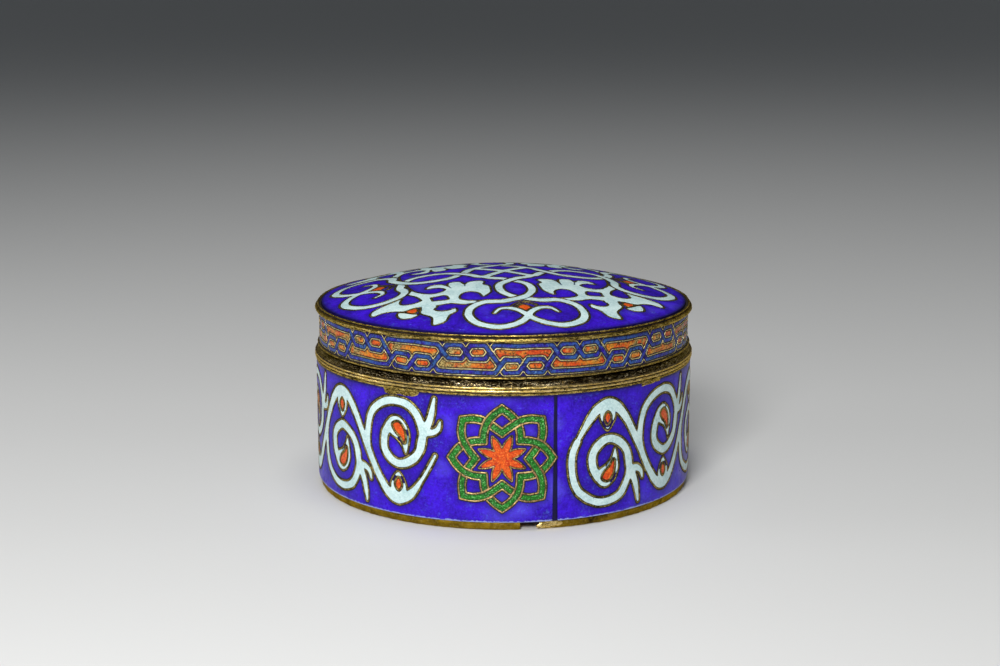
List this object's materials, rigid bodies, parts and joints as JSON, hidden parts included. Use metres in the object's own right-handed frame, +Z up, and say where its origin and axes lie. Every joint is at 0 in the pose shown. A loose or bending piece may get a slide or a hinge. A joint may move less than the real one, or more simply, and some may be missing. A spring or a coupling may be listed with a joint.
{
  "type": "lidded box",
  "caption": "Low round cloisonne enamel box with a slightly domed slip-on lid over an inner collar.",
  "frame": {"origin": "centre of the foot's underside, on the box's axis", "axes": "+Z up along the axis, -Y towards the front medallion, +X to the right seen from the front"},
  "size_m": [0.1008, 0.1008, 0.0561],
  "materials": {
    "gilt": "worn fire gilding, pitted",
    "copper": "bare raised copper",
    "cobalt_enamel": "glossy, mottled, pitted",
    "pale_enamel": "opaque, glossy, pale turquoise",
    "green_enamel": "glossy, speckled",
    "orange_enamel": "opaque, glossy",
    "lining_enamel": "plain turquoise counter enamel"
  },
  "bodies": {
    "box": {"foot_ring": "gilt", "base_enamel": "lining_enamel", "base_plate": "copper", "body_wall": "copper", "body_lining": "lining_enamel", "floor_lining": "lining_enamel", "body_enamel": "cobalt_enamel", "body_rim": "gilt", "inner_collar": "gilt", "medallion_front": "green_enamel", "medallion_back": "green_enamel", "star_front": "orange_enamel", "star_back": "orange_enamel", "vine_right": "pale_enamel", "vine_left": "pale_enamel"},
    "lid": {"lid_rim": "gilt", "lid_wall": "copper", "band_enamel": "cobalt_enamel", "lid_moulding": "gilt", "lid_dome": "copper", "dome_lining": "lining_enamel", "dome_enamel": "cobalt_enamel", "band_bar_upper_1": "orange_enamel", "band_bar_lower_1": "orange_enamel", "band_bar_upper_2": "orange_enamel", "band_bar_lower_2": "orange_enamel", "band_bar_upper_3": "orange_enamel", "band_bar_lower_3": "orange_enamel", "band_bar_upper_4": "orange_enamel", "band_bar_lower_4": "orange_enamel", "band_bar_upper_5": "orange_enamel", "band_bar_lower_5": "orange_enamel", "band_bar_upper_6": "orange_enamel", "band_bar_lower_6": "orange_enamel", "band_bar_upper_7": "orange_enamel", "band_bar_lower_7": "orange_enamel", "band_bar_upper_8": "orange_enamel", "band_bar_lower_8": "orange_enamel", "band_bar_upper_9": "orange_enamel", "band_bar_lower_9": "orange_enamel", "band_bar_upper_10": "orange_enamel", "band_bar_lower_10": "orange_enamel", "band_bar_upper_11": "orange_enamel", "band_bar_lower_11": "orange_enamel", "dome_knot_front": "pale_enamel", "dome_palmette_front_right": "pale_enamel", "dome_diamond_front": "orange_enamel", "dome_knot_right": "pale_enamel", "dome_palmette_back_right": "pale_enamel", "dome_diamond_right": "orange_enamel", "dome_knot_back": "pale_enamel", "dome_palmette_back_left": "pale_enamel", "dome_diamond_back": "orange_enamel", "dome_knot_left": "pale_enamel", "dome_palmette_front_left": "pale_enamel", "dome_diamond_left": "orange_enamel", "dome_cross": "pale_enamel"}
  },
  "joints": [
    {"name": "lid_lift", "type": "slide", "parent": "box", "child": "lid", "axis": [0, 0, 1], "range_m": [0, 0.06]}
  ]
}
